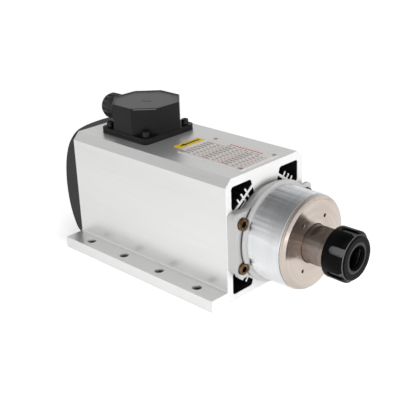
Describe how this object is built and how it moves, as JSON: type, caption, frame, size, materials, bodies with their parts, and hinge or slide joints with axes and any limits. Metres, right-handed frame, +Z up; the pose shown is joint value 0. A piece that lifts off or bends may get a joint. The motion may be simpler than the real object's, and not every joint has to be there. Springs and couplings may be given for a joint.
{
  "type": "motor spindle",
  "caption": "Square air-cooled spindle motor: foot flange, finned air channels, turned nose, collet nut, octagonal terminal box with cable gland, domed fan cover.",
  "frame": {"origin": "centre of the foot's eight-hole pattern, on the seating face", "axes": "+X along the motor axis to the collet nut, +Y to the motor's left seen along +X, +Z up from the foot"},
  "size_m": [0.305, 0.134, 0.1382],
  "materials": {
    "body_aluminium": "satin anodised, brushed lengthwise",
    "turned_aluminium": "turned",
    "disc_steel": "fine turned, polished",
    "shaft_steel": "ground",
    "race_steel": "ground",
    "cage_plastic": "moulded",
    "black_oxide": "black oxide",
    "ring_steel": "dark, satin",
    "screw_bronze": "yellow chromate",
    "screw_black": "black oxide",
    "cover_black": "fine moulded grain",
    "hood_black": "satin moulded",
    "gland_black": "moulded",
    "rubber_black": "plain",
    "core_steel": "stacked sheet",
    "copper_winding": "varnished",
    "end_ring_aluminium": "cast",
    "spring_steel": "tempered",
    "fan_plastic": "moulded",
    "block_plastic": "moulded",
    "stud_brass": "machined",
    "lead_insulation": "plain",
    "plate_aluminium": "printed foil",
    "rivet_aluminium": "plain",
    "label_yellow": "printed film"
  },
  "bodies": {
    "housing": {"body_extrusion": "body_aluminium", "front_bell": "turned_aluminium", "front_bell_screws": "screw_bronze", "bearing_retainer": "disc_steel", "bearing_outer_races": "race_steel", "rear_bell": "turned_aluminium", "rear_bell_screws": "screw_black", "preload_spring": "spring_steel", "fan_cover": "cover_black", "fan_cover_screws": "screw_black", "stator_core": "core_steel", "stator_windings": "copper_winding", "terminal_box_base": "hood_black", "box_gasket": "rubber_black", "terminal_box_hood": "hood_black", "box_screws": "screw_black", "terminal_block": "block_plastic", "terminal_studs": "stud_brass", "lead_wires": "lead_insulation", "earth_screw": "screw_bronze", "gland_body": "gland_black", "gland_lock_nut": "gland_black", "rating_plate": "plate_aluminium", "plate_rivets": "rivet_aluminium", "rotation_label": "label_yellow"},
    "rotor": {"shaft": "shaft_steel", "rotor_core": "core_steel", "rotor_end_rings": "end_ring_aluminium", "bearing_inner_races": "race_steel", "bearing_lock_nut": "shaft_steel", "shaft_retaining_ring": "spring_steel", "fan_impeller": "fan_plastic", "fan_retaining_ring": "spring_steel"},
    "front_cage": {"front_balls": "race_steel", "front_cages": "cage_plastic"},
    "rear_cage": {"rear_balls": "race_steel", "rear_cage": "cage_plastic"},
    "nut_ring": {"collet_nut_ring": "ring_steel"},
    "collet_nut": {"collet_nut": "black_oxide"},
    "gland_seal": {"gland_seal": "rubber_black"},
    "gland_nut": {"gland_nut": "gland_black"}
  },
  "joints": [
    {"name": "rotor_spin", "type": "hinge", "parent": "housing", "child": "rotor", "pos_m": [0, 0, 0.0535], "axis": [1, 0, 0], "continuous": true},
    {"name": "front_cage_spin", "type": "hinge", "parent": "housing", "child": "front_cage", "pos_m": [0, 0, 0.0535], "axis": [1, 0, 0], "continuous": true},
    {"name": "rear_cage_spin", "type": "hinge", "parent": "housing", "child": "rear_cage", "pos_m": [0, 0, 0.0535], "axis": [1, 0, 0], "continuous": true},
    {"name": "nut_advance", "type": "slide", "parent": "rotor", "child": "nut_ring", "axis": [1, 0, 0], "range_m": [0, 0.0075]},
    {"name": "nut_turn", "type": "hinge", "parent": "nut_ring", "child": "collet_nut", "pos_m": [0, 0, 0.0535], "axis": [1, 0, 0], "range_deg": [0, 1800]},
    {"name": "gland_advance", "type": "slide", "parent": "housing", "child": "gland_seal", "axis": [-1, 0, 0], "range_m": [0, 0.0045]},
    {"name": "gland_turn", "type": "hinge", "parent": "gland_seal", "child": "gland_nut", "pos_m": [0, 0, 0.124], "axis": [-1, 0, 0], "range_deg": [0, 1080]}
  ],
  "couplings": [
    {"joint": "front_cage_spin", "follows": "rotor_spin", "ratio": 0.4343},
    {"joint": "rear_cage_spin", "follows": "rotor_spin", "ratio": 0.4369},
    {"joint": "nut_advance", "follows": "nut_turn", "m_per_rad": 0.0002387},
    {"joint": "gland_advance", "follows": "gland_turn", "m_per_rad": 0.0002387}
  ]
}
